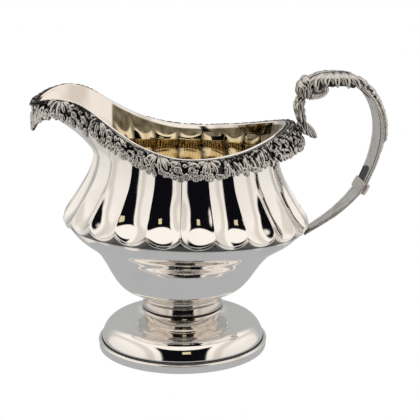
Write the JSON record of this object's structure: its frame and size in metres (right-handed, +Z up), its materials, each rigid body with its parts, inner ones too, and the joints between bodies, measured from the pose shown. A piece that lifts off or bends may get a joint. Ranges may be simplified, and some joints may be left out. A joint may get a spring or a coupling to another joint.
{
  "type": "cream jug",
  "caption": "Oval fluted silver cream jug with a long lip, a cast leafy border, a leaf-capped scroll handle and a round domed foot.",
  "frame": {"origin": "on the resting plane, under the middle of the bounding box", "axes": "+Z up, +X from the lip to the handle, +Y to the left of someone who looks along +X"},
  "size_m": [0.1496, 0.0848, 0.1185],
  "materials": {
    "polished_silver": "polished, with fine wear",
    "cast_silver": "cast and chased, dark in the recesses",
    "strap_silver": "satin, softly worn"
  },
  "bodies": {
    "root": {"foot_rim_band": "polished_silver", "foot_dome": "polished_silver", "foot_trumpet": "polished_silver", "neck_flange": "polished_silver", "neck_drum": "polished_silver", "bowl": "polished_silver", "border_lip_tip": "cast_silver", "border_lip_side_right": "cast_silver", "border_throat_right": "cast_silver", "border_side_front_right": "cast_silver", "border_side_back_right": "cast_silver", "border_back": "cast_silver", "border_side_back_left": "cast_silver", "border_side_front_left": "cast_silver", "border_throat_left": "cast_silver", "border_lip_side_left": "cast_silver", "handle_stem": "cast_silver", "handle_root_spur": "cast_silver", "handle_knot_curl": "cast_silver", "handle_volute": "polished_silver", "handle_crown_leaf": "cast_silver", "handle_joint_bud": "cast_silver", "handle_outer_foliage": "cast_silver", "handle_tip_bead": "cast_silver", "handle_strap_upper": "strap_silver", "handle_collar": "strap_silver", "handle_strap_lower": "strap_silver", "handle_terminal_leaf": "strap_silver"}
  },
  "joints": []
}
